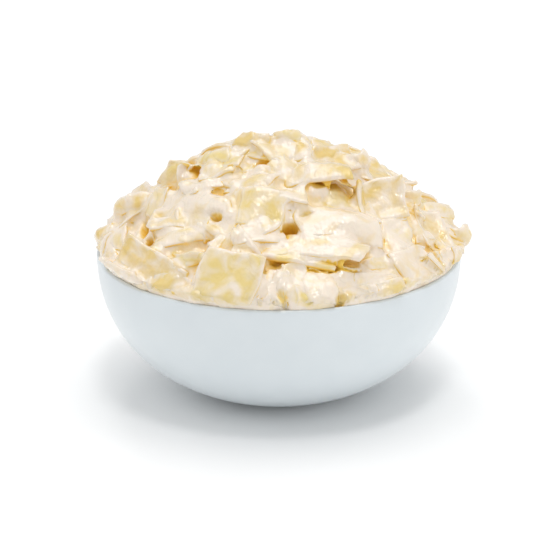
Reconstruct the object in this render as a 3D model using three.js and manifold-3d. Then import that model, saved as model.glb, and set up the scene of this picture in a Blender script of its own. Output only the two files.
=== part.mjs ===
// Creamed cabbage heaped in a white porcelain bowl.
// Millimetres, +Z up. The origin is the middle of the bowl's flat base, and the front faces -Y.
import * as THREE from 'three';
import { mergeVertices } from 'three/addons/utils/BufferGeometryUtils.js';
import Module from 'manifold-3d';

// Bowl
const RIM_RADIUS = 80; // outside of the lip
const BOWL_HEIGHT = 63.5; // top of the lip
const BASE_RADIUS = 26; // flat disc that the bowl stands on
const BELLY_LOW = { r: 51, z: 5.5 }; // pulls the outer curve low and wide above the base
const BELLY_HIGH = { r: 80, z: 24 }; // makes the outer curve upright at the lip
const BASE_WALL = 4; // thickness at the foot of the wall
const LIP_WALL = 2.4; // thickness at the rounded lip
const BOWL_SEGMENTS = 54;
const WALL_STEPS = 9; // rings up each side of the wall
const LIP_STEPS = 4; // facets over the rounded lip

// Heap
const GAP = 0.35; // clear space between the bowl and the core
const TRIM_GAP = 0.3; // clear space between the bowl and a piece cut back from it
const HEAP_RADIUS = 79.6; // where the dome would meet the level of the lip
const HEAP_RISE = 48; // top of the dome above the lip, below the pieces that lie on it
const HEAP_POWER = 1.65; // how round the dome is: 1 is a cone, 2 a rounded cap
const CORE_SINK = 1.6; // the core lies this far under the dome
const DIG = 0.7; // the lowest corner of a piece goes at least this far into the core
const CORE_EDGE = 76.2; // radius of the core where it leaves the bowl
const CORE_STEPS = 6; // rings over the dome
const CORE_WALL_STEPS = 4; // rings up its hidden side
const LIP_SLOPE = 2.5; // over the lip a piece may reach this much further out for each mm up
const LIP_CLEAR = 1; // height above the lip at which it may begin to reach out
const WELD = 1e-3; // corners of one solid that are nearer than this are one
const CORNER_STEP = 0.02; // the heap's corners are rounded to this, so that none nearly coincide
const WALL_SAMPLES = 40; // heights at which the bowl's inner radius is taken
const REST_STEPS = 4; // parts into which a piece is divided to find where it rests
const SPACE_REACH = 15; // pieces are trimmed this far outside the lip
const FACET_LIMITS = [0.26, 0.3, 0.34, 0.36, 0.38, 0.4]; // facets that stray less than the first that works are merged

// Cut cabbage: leaf squares, broken scraps and strips of thick rib, with the faces across and along each
const KINDS = {
  leaf: { thickness: 2, across: 4, along: 2 },
  scrap: { thickness: 1.8, across: 3, along: 3 },
  rib: { thickness: 3, across: 4, along: 1 },
};
const RIPPLE = 0.5; // height of a piece's wave, where it isn't given
const RIPPLE_ACROSS = 2.6; // radians of the wave from the middle to a side
const RIPPLE_ALONG = 2.1; // the same from the middle to an end
const ALONG_PHASE = 1.7; // start of the wave along a piece, as a share of its start across
const WAVE_TURN = 0.7; // how the wave of a named piece starts, for each degree round the heap
const WAVE_SHIFT = 0.3; // the same for each millimetre from the axis
const CREASE_ROUND = 0.03; // rounds a crease, in parts of half the width, squared
const CREASE_LEVEL = 0.5; // keeps a creased piece level with the others
const NORMAL_STEP = 0.05; // part of a piece's half width over which its slope is taken

// Pieces that fill the back, the sides and the top: how many, where, and the ranges that they are drawn from
const FILL_COUNT = 62;
const FILL_SEED = 7;
const FILL_REACH = 76.8; // furthest from the axis
const GOLDEN_ANGLE = 137.508;
const FRONT_HALF_ANGLE = 78; // the front, left to the pieces named below
const FRONT_START = 18; // radius at which the front begins
const LEAF_SHARE = 0.62;
const SCRAP_SHARE = 0.18;
const FILL_SIZES = {
  leaf: { w: [18, 27], l: [15, 21] },
  scrap: { w: [11, 15], l: [9, 13] },
  rib: { w: [18, 27], l: [4.5, 7] },
};
const FILL_LIFT = [1.8, 4];
const FILL_LEAN = [-26, 18]; // at the lip, and less towards the top
const FILL_SPIN = [-180, 180];
const FILL_TILT = [-8, 8]; // pitch and roll
const FILL_CUP = [-4, 2];
const FILL_ARCH = [-3, 1.6];
const FILL_TWIST = [-1.6, 1.6];
const FILL_RIPPLE = [0.4, 1.4];
const FILL_TAPER = [-0.22, 0.22];
const FILL_SKEW = [-0.25, 0.25];
const FILL_PHASE = [0, 6];

const degrees = THREE.MathUtils.degToRad;

// Named pieces of the front, each with its az, r, lift, w, l, lean, spin and roll, and then how it bends.
// az: angle round the axis, 0 in front and growing to the right; r: distance from the axis; lift: height over
// the dome; w and l: size across and up the slope; lean: top edge out, before the other turns; spin: turn in
// its plane; roll: right edge in; cup and arch: bend across and along, edges outwards; crease: fold about the
// line at creaseAt.
const cut = (kind) => (az, r, lift, w, l, lean, spin, roll, bends = {}) => {
  const phase = WAVE_TURN * az + WAVE_SHIFT * r;
  return { kind, az, r, lift, w, l, lean, spin, roll, phase, ...bends };
};
const leaf = cut('leaf');
const scrap = cut('scrap');
const rib = cut('rib');
const FRONT = {
  frontSquare: leaf(-16, 71.8, 4.6, 28, 25, 16, -7, -7, { cup: 0.8, twist: 1.2, ripple: 0.9, skew: 0.08 }),
  curlLeaf: scrap(-34, 67, 4.4, 16.7, 5.8, 30, 13, -3, { cup: -3, arch: 1, taper: 0.15, skew: 0.1 }),
  leftLong: leaf(-46, 72.2, 3.6, 38, 14, 20, -12, 10, { cup: -2.4, arch: 1.4 }),
  rimRib: rib(-57, 77.8, 3, 36.1, 8.2, 0, 1, -3, { cup: -1.8, taper: -0.1 }),
  leftUnder: leaf(-37, 77, 1.6, 17, 13, 8, 9, 12, { cup: -1.6, taper: -0.07, skew: 0.16 }),
  leftShelf: leaf(-80, 73.5, 2.6, 24.3, 12.1, 24, 34, 14, {
    cup: -2.4, arch: -1.6, taper: -0.11, skew: -0.2,
  }),
  farLeft: scrap(-84, 74.7, 5.2, 13.5, 7.9, 50, 40, 32, { cup: -2.4, arch: -2, skew: -0.15 }),
  stripUpper: leaf(-50, 55.1, 2.8, 24.5, 8.6, -22, 43, 10, { cup: -2, arch: -1, taper: -0.09, skew: -0.16 }),
  stripLower: leaf(-42, 59.1, 3, 24.7, 8.7, -20, 40, 0, { cup: -2, arch: -1.4 }),
  roundLeft: leaf(-84, 61, 7.6, 18.3, 9, 41, 36, 44, { cup: -3, arch: -2.4, skew: 0.1 }),
  narrowLeft: leaf(-75, 53.3, 4, 11.8, 14.8, 22, 16, 7, { cup: -1, taper: -0.09, skew: -0.09 }),
  squareLeft: leaf(-86, 42.2, 6.1, 14.6, 12.6, 42, 13, 41, { cup: 1, skew: 0.38 }),
  yellowLeft: leaf(-78, 28.9, 4.6, 21.3, 7.4, 41, 40, 22, { cup: -2.6, arch: -1, taper: -0.07 }),
  topYellow: leaf(-60, 12.4, 5, 15.7, 7.8, 56, 15, 33, { cup: -2, arch: -1.6, taper: -0.14, skew: 0.12 }),
  topLump: leaf(41, 7.4, 5, 12.6, 7.4, 50, -10, -28, { cup: -2.6, arch: -2, taper: -0.09, skew: -0.25 }),
  underTop: leaf(-54, 13.1, 3.6, 31.1, 10.1, -6, 29, 0, { cup: -1.6, arch: -1.2, taper: -0.23 }),
  waveShred: leaf(-59, 30, 3.4, 15, 12.4, -12, 58, 0, { cup: -1, ripple: 1.4, taper: -0.06 }),
  goldLeaf: scrap(-45, 23.5, 1, 11.9, 6.7, 4, 27, 7, { taper: 0.06, skew: -0.19 }),
  middleScrap: scrap(-16, 24.7, 3.2, 8.3, 8.2, 8, 13, 0, { cup: -1.6 }),
  swirlCream: leaf(-53, 35.8, 2.4, 25.5, 9.7, 0, 48, 16, {
    cup: -2.4, arch: -1.6, ripple: 1.4, taper: 0.09, skew: -0.11,
  }),
  coatedLump: leaf(-47, 47.4, 2.6, 38.7, 14.5, 10, 15, 0, { cup: -2.6, arch: -2.4, ripple: 1, skew: -0.17 }),
  slantStrip: leaf(-35, 52.8, 3.4, 25.8, 4.1, -20, -9, 0, { cup: -1.2, arch: -1, skew: -0.13 }),
  foldOuter: leaf(-22, 43.1, 4.6, 9.1, 19.4, 10, -6, -8, { arch: -1.4, taper: 0.14, skew: -0.27 }),
  foldInner: leaf(-9, 43.8, 4.6, 19.4, 19.3, 14, -3, 0, { crease: -2.4, creaseAt: -0.5 }),
  topCream: scrap(38, 12.3, 3, 10.1, 15.5, 0, -28, -25, { cup: -2.4, arch: -1.5, skew: 0.11 }),
  ridgedStrip: leaf(32, 27.7, 5.2, 29.3, 14.4, -14, -25, -13, {
    cup: -3.4, arch: -2, ripple: 0.8, taper: -0.06,
  }),
  underRidge: leaf(39, 39.4, 0.6, 11.5, 14.7, 0, -13, 0, { cup: -2, arch: -1, taper: -0.13 }),
  topRight: leaf(78, 21.5, 4.1, 23.4, 9.6, 32, -32, -23, { cup: 1, taper: -0.06, skew: 0.23 }),
  smallRight: scrap(80, 33.6, 5.2, 9, 8.4, 44, 3, -56, { cup: -2.4, arch: -1.5 }),
  foldRight: leaf(58, 47, 4.6, 22.4, 19.3, 23, -22, -11, {
    taper: -0.07, skew: 0.12, crease: 4, creaseAt: -0.5,
  }),
  sideScrap: scrap(84, 56.3, 4.1, 8.5, 8, 43, -10, -52, { cup: -2, taper: 0.07, skew: 0.16 }),
  bigCream: leaf(28, 51.4, 4, 36.3, 17.2, -2, -25, -6, { cup: -2.4, arch: -2, ripple: 1.4, skew: -0.13 }),
  yellowPatch: scrap(37, 53.6, 5, 13.3, 7.2, 4, -6, 0, { cup: -1, taper: 0.1 }),
  creamFlap: leaf(17, 59.8, 4.4, 37.1, 13.1, -20, -29, -9, { cup: -2, arch: -1, ripple: 1, taper: 0.1 }),
  creamMiddle: leaf(-8, 54.6, 3.4, 23.6, 8.1, -6, 15, 20, { cup: -2, arch: -1, ripple: 1 }),
  barStrip: rib(6, 62.5, 5.4, 34.7, 5.6, -12, -16, 0, { cup: -2 }),
  barUnder: rib(14, 66.6, 3.6, 9.8, 4, -6, -30, 0, { taper: 0.07, skew: -0.09 }),
  lowerScrap: scrap(35, 67.9, 4.4, 16.4, 5.8, 12, -6, 0, { cup: -1.6, taper: -0.23 }),
  stepScrap: scrap(33, 73.9, 3.2, 23.4, 6.9, 6, -12, 0, { cup: -2, taper: -0.08, skew: -0.1 }),
  besideCream: leaf(52, 61.7, 2.8, 14.3, 18.3, 0, -24, -10, { cup: -2, ripple: 1.4, skew: 0.2 }),
  bigRight: leaf(50, 73.6, 4, 22.3, 18, 8, -8, -5, { cup: -2.6, ripple: 1.4, skew: -0.14 }),
  cupRight: leaf(75, 66.4, 4, 17, 22.3, 14, -39, -16, { cup: 2.6 }),
  fibrous: leaf(90, 66.2, 6.1, 16.7, 7.5, 33, -37, -47, { cup: -2, arch: -1 }),
  roundRight: scrap(83, 76.5, 6.2, 8.5, 9.5, 43, 0, -51, { cup: -2.4, arch: -2 }),
  rimRight: scrap(74, 79, 3.2, 15.9, 10.3, 25, -25, 5, { cup: -1.4, skew: 0.13 }),
  rimCorner: scrap(63, 76.4, 2.4, 25.2, 12.2, 4, -1, 25, { cup: -1.4, taper: 0.25, skew: -0.15 }),
  rimWhite: leaf(31, 78.2, 3.2, 25.3, 11, 10, -11, -15, { cup: -2, taper: -0.23, skew: 0.12 }),
  creamMass: leaf(10, 73.5, 3, 22, 17, 0, -11, -12, { cup: -3, arch: -2.4, skew: -0.22 }),
  fanLeft: rib(-5, 75.8, 3.6, 17.5, 4.2, 0, 74, 0, { cup: -0.8 }),
  fanMiddle: rib(-2, 76.2, 3.8, 17.9, 3.8, 0, 83, 0, { cup: -0.8 }),
  fanRight: rib(1, 75.4, 3.4, 16.9, 4.3, 0, 88, 0, { cup: -0.8, skew: 0.09 }),
};

const wasm = await Module();
wasm.setup();

// A small repeatable draw of numbers from 0 to 1
function makeDraw(seed) {
  let state = seed;
  return () => {
    state = (state * 1664525 + 1013904223) % 4294967296;
    return state / 4294967296;
  };
}

// Closed bodies: from a geometry to a solid, and back
function toSolid(geometry) {
  geometry.deleteAttribute('normal');
  geometry.deleteAttribute('uv');
  const merged = mergeVertices(geometry, WELD);
  const vertProperties = new Float32Array(merged.attributes.position.array);
  const triVerts = new Uint32Array(merged.index.array);
  return new wasm.Manifold(new wasm.Mesh({ numProp: 3, vertProperties, triVerts }));
}

// The corners are rounded, and faces that shrink to nothing by it are left out
function toGeometry(solid) {
  const { numProp, vertProperties, triVerts } = solid.getMesh();
  const ids = new Map();
  const positions = [];
  const corners = [];
  for (let i = 0; i < vertProperties.length; i += numProp) {
    const steps = Array.from(vertProperties.slice(i, i + 3), (value) => Math.round(value / CORNER_STEP));
    const key = steps.join();
    if (!ids.has(key)) {
      ids.set(key, ids.size);
      positions.push(...steps.map((value) => value * CORNER_STEP));
    }
    corners.push(ids.get(key));
  }
  const faces = [];
  for (let i = 0; i < triVerts.length; i += 3) {
    const face = Array.from(triVerts.slice(i, i + 3), (corner) => corners[corner]);
    if (new Set(face).size === 3) faces.push(...face);
  }
  const geometry = new THREE.BufferGeometry();
  geometry.setAttribute('position', new THREE.Float32BufferAttribute(positions, 3));
  geometry.setIndex(faces);
  geometry.computeVertexNormals();
  return geometry;
}

// The outer curve of the bowl, from the base to the lip: a point and its inward normal
const outerCurve = new THREE.CubicBezierCurve(
  new THREE.Vector2(BASE_RADIUS, 0),
  new THREE.Vector2(BELLY_LOW.r, BELLY_LOW.z),
  new THREE.Vector2(BELLY_HIGH.r, BELLY_HIGH.z),
  new THREE.Vector2(RIM_RADIUS, BOWL_HEIGHT - LIP_WALL / 2),
);

function wallPoint(t, inset) {
  const point = outerCurve.getPoint(t);
  const tangent = outerCurve.getTangent(t);
  const depth = inset * THREE.MathUtils.lerp(BASE_WALL, LIP_WALL, t);
  return new THREE.Vector2(point.x - tangent.y * depth, point.y + tangent.x * depth);
}

// The bowl's inner side, moved in by a clearance
function insidePoint(t, clearance) {
  const tangent = outerCurve.getTangent(t);
  return wallPoint(t, 1).add(new THREE.Vector2(-tangent.y, tangent.x).multiplyScalar(clearance));
}

function lathe(profile) {
  return new THREE.LatheGeometry(profile, BOWL_SEGMENTS).rotateX(Math.PI / 2);
}

function steps(count, from = 0, to = 1) {
  return Array.from({ length: count + 1 }, (_, i) => from + ((to - from) * i) / count);
}

function bowlGeometry() {
  const outside = steps(WALL_STEPS).map((t) => wallPoint(t, 0));
  const lipCentre = new THREE.Vector2(RIM_RADIUS - LIP_WALL / 2, BOWL_HEIGHT - LIP_WALL / 2);
  const lip = steps(LIP_STEPS, 0, Math.PI)
    .slice(1, -1)
    .map((a) => new THREE.Vector2(Math.cos(a), Math.sin(a)).multiplyScalar(LIP_WALL / 2).add(lipCentre));
  const inside = steps(WALL_STEPS, 1, 0).map((t) => wallPoint(t, 1));
  const floor = new THREE.Vector2(0, inside[inside.length - 1].y);
  return lathe([new THREE.Vector2(0, 0), ...outside, ...lip, ...inside, floor]);
}

// Height of the dome, and its slope, at a distance from the axis
const domeHeight = (r) => BOWL_HEIGHT + HEAP_RISE * (1 - (r / HEAP_RADIUS) ** HEAP_POWER);
const domeSlope = (r) => (HEAP_POWER * HEAP_RISE * r ** (HEAP_POWER - 1)) / HEAP_RADIUS ** HEAP_POWER;

// The plain mass under the pieces: it fills the bowl and rises as a dome
function coreGeometry() {
  const below = steps(CORE_WALL_STEPS).map((t) => insidePoint(t, GAP));
  const dome = steps(CORE_STEPS, CORE_EDGE, 0).map((r) => new THREE.Vector2(r, domeHeight(r) - CORE_SINK));
  return lathe([new THREE.Vector2(0, below[0].y), ...below, ...dome]);
}

// The space that the bowl needs: what a piece has in it is cut away
function bowlSpaceGeometry() {
  const inside = steps(WALL_STEPS, 1, 0).map((t) => insidePoint(t, TRIM_GAP));
  const [lip, foot] = [inside[0], inside[inside.length - 1]];
  const top = BOWL_HEIGHT + TRIM_GAP;
  const outside = RIM_RADIUS + SPACE_REACH;
  const low = new THREE.Vector2(outside, foot.y);
  const high = new THREE.Vector2(outside, top);
  return lathe([foot, low, high, new THREE.Vector2(lip.x, top), ...inside]);
}

// Inner radius of the bowl at a height
const insideSamples = steps(WALL_SAMPLES).map((t) => insidePoint(t, GAP));
function insideRadius(z) {
  const i = Math.max(1, insideSamples.findIndex((p) => p.y >= z));
  const [low, high] = [insideSamples[i - 1], insideSamples[i]];
  return THREE.MathUtils.lerp(low.x, high.x, THREE.MathUtils.clamp((z - low.y) / (high.y - low.y), 0, 1));
}

// Moves a point that would cross the bowl back inside it, or up onto the slope that starts over the lip
function keepClear(point, margin) {
  const free = Math.max(0, point.z - BOWL_HEIGHT - LIP_CLEAR - margin) * LIP_SLOPE;
  const top = insideSamples[insideSamples.length - 1].y;
  const limit = insideRadius(Math.min(point.z, top)) - margin + free;
  const reach = Math.hypot(point.x, point.y);
  if (reach > limit) {
    point.x *= limit / reach;
    point.y *= limit / reach;
  }
  return point;
}

// The frame in which a piece lies on the dome
function pieceFrame({ az, r, lift, lean, spin, roll, pitch = 0 }) {
  const out = new THREE.Vector3(Math.sin(degrees(az)), -Math.cos(degrees(az)), 0);
  const side = new THREE.Vector3(Math.cos(degrees(az)), Math.sin(degrees(az)), 0);
  const uphill = new THREE.Vector3(-out.x, -out.y, domeSlope(r)).normalize();
  const normal = new THREE.Vector3().crossVectors(side, uphill);
  const turn = new THREE.Euler(degrees(pitch), degrees(roll), degrees(spin), 'ZXY');
  return new THREE.Matrix4()
    .makeBasis(side, uphill, normal)
    .setPosition(out.multiplyScalar(r).setZ(domeHeight(r)).addScaledVector(normal, lift))
    .multiply(new THREE.Matrix4().makeRotationX(degrees(lean)))
    .multiply(new THREE.Matrix4().makeRotationFromEuler(turn));
}

// The middle surface of a piece at u across and v along, both from -1 to 1
function pieceSurface(piece, frame, u, v) {
  const { w, l, phase, cup = 0, arch = 0, twist = 0, ripple = RIPPLE, taper = 0, skew = 0 } = piece;
  const { crease = 0, creaseAt = 0 } = piece;
  const wave = Math.sin(RIPPLE_ACROSS * u + phase) * Math.cos(RIPPLE_ALONG * v + ALONG_PHASE * phase);
  const fold = Math.sqrt((u - creaseAt) ** 2 + CREASE_ROUND) - CREASE_LEVEL;
  const x = (w / 2) * (u * (1 + taper * v) + skew * v);
  const y = (l / 2) * v * (1 - taper * u);
  const z = cup * u * u + arch * v * v + twist * u * v + ripple * wave + crease * fold;
  return keepClear(new THREE.Vector3(x, y, z).applyMatrix4(frame), KINDS[piece.kind].thickness / 2);
}

// Lowers a piece until some part of its underside goes into the core
function settled(piece) {
  const frame = pieceFrame(piece);
  const half = KINDS[piece.kind].thickness / 2;
  const clearances = steps(REST_STEPS, -1, 1).flatMap((v) =>
    steps(REST_STEPS, -1, 1).map((u) => {
      const point = pieceSurface(piece, frame, u, v);
      const r = Math.hypot(point.x, point.y);
      return (point.z - domeHeight(r) + CORE_SINK) / Math.hypot(1, domeSlope(r)) - half;
    }),
  );
  const spare = Math.min(...clearances) + DIG;
  return spare > 0 ? { ...piece, lift: piece.lift - spare } : piece;
}

// A thin wavy body: both faces are the same grid of triangles, joined round the edge
function pieceGeometry(piece) {
  const { thickness, across, along } = KINDS[piece.kind];
  const frame = pieceFrame(piece);
  const step = NORMAL_STEP;
  const faces = [[], []];
  for (const v of steps(along, -1, 1)) {
    for (const u of steps(across, -1, 1)) {
      const point = pieceSurface(piece, frame, u, v);
      const du = pieceSurface(piece, frame, u + step, v).sub(pieceSurface(piece, frame, u - step, v));
      const dv = pieceSurface(piece, frame, u, v + step).sub(pieceSurface(piece, frame, u, v - step));
      const half = du.cross(dv).setLength(thickness / 2);
      faces[0].push(point.clone().add(half));
      faces[1].push(point.clone().sub(half));
    }
  }
  const count = faces[0].length;
  const index = [];
  const at = (i, j) => j * (across + 1) + i;
  const quad = (a, b, c, d) => index.push(a, b, c, a, c, d);
  for (let j = 0; j < along; j += 1) {
    for (let i = 0; i < across; i += 1) {
      const corners = [at(i, j), at(i + 1, j), at(i + 1, j + 1), at(i, j + 1)];
      const [a, b, c, d] = corners;
      quad(a, b, c, d);
      index.push(a + count, c + count, b + count, a + count, d + count, c + count);
    }
  }
  const edge = [];
  for (let i = 0; i < across; i += 1) edge.push(at(i, 0));
  for (let j = 0; j < along; j += 1) edge.push(at(across, j));
  for (let i = across; i > 0; i -= 1) edge.push(at(i, along));
  for (let j = along; j > 0; j -= 1) edge.push(at(0, j));
  edge.forEach((a, k) => {
    const b = edge[(k + 1) % edge.length];
    quad(a + count, b + count, b, a);
  });
  const geometry = new THREE.BufferGeometry();
  const positions = faces.flat().flatMap((p) => p.toArray());
  geometry.setAttribute('position', new THREE.Float32BufferAttribute(positions, 3));
  geometry.setIndex(index);
  return geometry;
}

// Pieces all round, evenly spread, with uneven sizes and turns; the named pieces take the place of the front
function fillPieces() {
  const draw = makeDraw(FILL_SEED);
  const between = ([low, high]) => low + (high - low) * draw();
  const pieces = [];
  for (let i = 0; i < FILL_COUNT; i += 1) {
    const az = THREE.MathUtils.euclideanModulo(i * GOLDEN_ANGLE + 180, 360) - 180;
    const r = FILL_REACH * Math.sqrt((i + 0.5) / FILL_COUNT);
    const choice = draw();
    const kind = choice < LEAF_SHARE ? 'leaf' : choice < LEAF_SHARE + SCRAP_SHARE ? 'scrap' : 'rib';
    const stiff = kind === 'rib';
    const piece = {
      kind,
      az,
      r,
      lift: between(FILL_LIFT),
      w: between(FILL_SIZES[kind].w),
      l: between(FILL_SIZES[kind].l),
      lean: (between(FILL_LEAN) * r) / FILL_REACH,
      spin: between(FILL_SPIN),
      pitch: between(FILL_TILT),
      roll: between(FILL_TILT),
      cup: between(FILL_CUP),
      arch: stiff ? 0 : between(FILL_ARCH),
      twist: stiff ? 0 : between(FILL_TWIST),
      ripple: between(FILL_RIPPLE),
      taper: stiff ? 0 : between(FILL_TAPER),
      skew: stiff ? 0 : between(FILL_SKEW),
      phase: between(FILL_PHASE),
    };
    const inFront = Math.abs(az) < FRONT_HALF_ANGLE && r > FRONT_START;
    if (!inFront) pieces.push(piece);
  }
  return pieces;
}

// Whether every edge has exactly two faces
function isClosed(geometry) {
  const { array } = geometry.index;
  const faces = new Map();
  for (let i = 0; i < array.length; i += 3) {
    for (let k = 0; k < 3; k += 1) {
      const key = [array[i + k], array[i + ((k + 1) % 3)]].sort((m, n) => m - n).join();
      faces.set(key, (faces.get(key) ?? 0) + 1);
    }
  }
  return [...faces.values()].every((count) => count === 2);
}

// Merging facets can leave two folds that touch along an edge, so the first limit that leaves none is used
function withFewerFacets(solid) {
  const whole = solid.asOriginal();
  const choices = FACET_LIMITS.map((limit) => toGeometry(whole.simplify(limit)));
  return choices.find(isClosed) ?? toGeometry(solid);
}

// Everything on the core, joined to it; scraps that touch nothing and sealed hollows are dropped
function heapGeometry() {
  const pieces = [...Object.values(FRONT), ...fillPieces()].map(settled);
  const core = toSolid(coreGeometry());
  const joined = wasm.Manifold.union([core, ...pieces.map((piece) => toSolid(pieceGeometry(piece)))]);
  const trimmed = joined.subtract(toSolid(bowlSpaceGeometry()));
  const bodies = trimmed.decompose().sort((a, b) => b.volume() - a.volume());
  return withFewerFacets(bodies[0]);
}

const porcelain = new THREE.MeshStandardMaterial({ color: 0xf2f5f6, roughness: 0.25, metalness: 0 });
const creamedCabbage = new THREE.MeshStandardMaterial({ color: 0xf3e6c4, roughness: 0.45, metalness: 0 });

const bowl = new THREE.Mesh(bowlGeometry(), porcelain);
bowl.name = 'bowl';

const heap = new THREE.Mesh(heapGeometry(), creamedCabbage);
heap.name = 'creamed_cabbage';

const dish = new THREE.Group();
dish.add(bowl, heap);

export default dish;
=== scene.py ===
import logging
import math
from dataclasses import dataclass, replace
from enum import Enum
from typing import Iterable, Sequence

import bmesh
import bpy
import numpy as np
from mathutils import Euler, Matrix, Vector
from mathutils.bvhtree import BVHTree


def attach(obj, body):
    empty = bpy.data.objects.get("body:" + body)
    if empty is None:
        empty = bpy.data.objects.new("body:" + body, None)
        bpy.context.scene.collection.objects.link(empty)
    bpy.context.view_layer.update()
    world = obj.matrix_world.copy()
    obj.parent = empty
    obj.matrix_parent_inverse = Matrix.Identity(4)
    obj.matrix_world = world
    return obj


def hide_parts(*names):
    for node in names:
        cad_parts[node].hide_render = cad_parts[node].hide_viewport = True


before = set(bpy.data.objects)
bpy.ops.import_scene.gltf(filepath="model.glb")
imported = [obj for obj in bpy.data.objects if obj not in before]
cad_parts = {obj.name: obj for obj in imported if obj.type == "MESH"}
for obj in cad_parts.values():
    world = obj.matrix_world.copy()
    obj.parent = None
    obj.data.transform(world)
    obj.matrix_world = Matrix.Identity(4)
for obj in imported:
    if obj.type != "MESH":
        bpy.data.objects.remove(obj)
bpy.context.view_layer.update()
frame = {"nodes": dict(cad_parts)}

# Creamed cabbage heaped in a white porcelain bowl. The origin is the middle of the bowl's flat base, and
# the front faces -Y. Shapes are worked out in millimetres and turned to metres as each mesh is made.
MM = 0.001
TINY = 1e-9
GOLDEN_ANGLE = 137.508
BODY = "root"

Tree = bpy.types.NodeTree
Socket = bpy.types.NodeSocket
Colour = tuple[float, float, float, float]

log = logging.getLogger("creamed_cabbage")


def rgb(code: str) -> Colour:
    """Turns a colour from sRGB hex to the linear values that a shader takes.

    Args:
        code: six hex digits after a hash sign.

    Returns:
        Linear red, green and blue, with an alpha of 1.
    """
    channels = [int(code[i : i + 2], 16) / 255 for i in (1, 3, 5)]
    linear = [c / 12.92 if c <= 0.04045 else ((c + 0.055) / 1.055) ** 2.4 for c in channels]
    return (*linear, 1.0)


def add_node(tree: Tree, kind: str, inputs: dict | None = None, **settings: object) -> bpy.types.Node:
    """Adds one node to a tree.

    Args:
        tree: the material's node tree.
        kind: Blender's name for the node's type.
        inputs: socket name or number, and the value or the output socket that feeds it.
        settings: the node's own settings.

    Returns:
        The new node.
    """
    made = tree.nodes.new(kind)
    for name, value in settings.items():
        setattr(made, name, value)
    for socket, value in (inputs or {}).items():
        if isinstance(value, Socket):
            tree.links.new(value, made.inputs[socket])
        else:
            made.inputs[socket].default_value = value
    return made


def new_material(name: str) -> tuple[bpy.types.Material, Tree, bpy.types.Node]:
    """Starts a material.

    Args:
        name: the material's name.

    Returns:
        The material, its node tree and its shader.
    """
    made = bpy.data.materials.new(name)
    made.use_nodes = True
    return made, made.node_tree, made.node_tree.nodes["Principled BSDF"]


def set_values(node: bpy.types.Node, values: dict) -> None:
    """Sets a node's own sockets to plain values."""
    for socket, value in values.items():
        node.inputs[socket].default_value = value


def smoothstep(low: float, high: float, value: np.ndarray) -> np.ndarray:
    """Rises smoothly from 0 at low to 1 at high."""
    t = np.clip((value - low) / (high - low), 0, 1)
    return t * t * (3 - 2 * t)


def lumps(points: np.ndarray, size: float, seed: int) -> np.ndarray:
    """Gives a smooth unevenness in space, made of waves that cross in many directions.

    Args:
        points: rows of x, y and z in mm.
        size: length of the waves in mm.
        seed: the draw that sets their directions.

    Returns:
        Values from about -1 to 1.
    """
    draw = Draw(seed)
    total = np.zeros(len(points))
    waves = 9
    shortest, longest = 0.7, 1.4
    for _ in range(waves):
        way = np.array([draw.between(-1, 1) for _ in range(3)])
        way *= math.tau / (size * draw.between(shortest, longest) * np.linalg.norm(way))
        total += np.sin(points @ way + draw.between(0, math.tau))
    return total / math.sqrt(waves)


class Draw:
    """A small repeatable draw of numbers, the same as the one behind the solids."""

    FACTOR = 1664525
    STEP = 1013904223
    SPAN = 2**32

    def __init__(self, seed: int) -> None:
        """Starts the draw at a seed."""
        self.state = seed

    def number(self) -> float:
        """Gives the next number from 0 to 1."""
        self.state = (self.state * self.FACTOR + self.STEP) % self.SPAN
        return self.state / self.SPAN

    def between(self, low: float, high: float) -> float:
        """Gives the next number from low to high."""
        return low + (high - low) * self.number()

    def one_of(self, options: Sequence["Kind"]) -> "Kind":
        """Picks one of some kinds."""
        return options[int(len(options) * self.number())]


class Kind(Enum):
    """The ways in which the cabbage is cut: its mesh, its thickness in mm, and the faces across and along."""

    LEAF = ("cabbage_leaves", 2.0, 18, 14)
    SCRAP = ("cabbage_scraps", 1.8, 12, 10)
    RIB = ("cabbage_ribs", 3.0, 18, 7)
    SHRED = ("cabbage_shreds", 1.8, 14, 6)

    def __init__(self, title: str, thickness: float, across: int, along: int) -> None:
        """Keeps the sizes under plain names.

        Args:
            title: the name of the kind's mesh.
            thickness: how thick it is cut, in mm.
            across: faces across the blank.
            along: faces along the blank.
        """
        self.title = title
        self.thickness = thickness
        self.across = across
        self.along = along


@dataclass(frozen=True)
class Piece:
    """One piece of cabbage and how it lies on the dome.

    az is the angle round the axis in degrees, 0 in front and growing to the right; r the distance from the
    axis; lift the height over the dome; w and l the size across and up the slope, all in mm. lean tips its
    top edge out before anything else; spin, pitch and roll turn it in its plane, its top edge out, and its
    right edge in. cup and arch bend it across and along, edges outwards, and crease folds it about the line
    at crease_at. coat is how thickly the cream covers it.
    """

    kind: Kind
    az: float
    r: float
    lift: float
    w: float
    l: float
    lean: float = 0
    spin: float = 0
    roll: float = 0
    pitch: float = 0
    cup: float = 0
    arch: float = 0
    twist: float = 0
    ripple: float = 0.5
    taper: float = 0
    skew: float = 0
    phase: float = 0
    crease: float = 0
    crease_at: float = 0
    coat: float = 0.35


LEAF, SCRAP, RIB, SHRED = Kind.LEAF, Kind.SCRAP, Kind.RIB, Kind.SHRED
SLIM = (RIB, SHRED)

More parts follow.
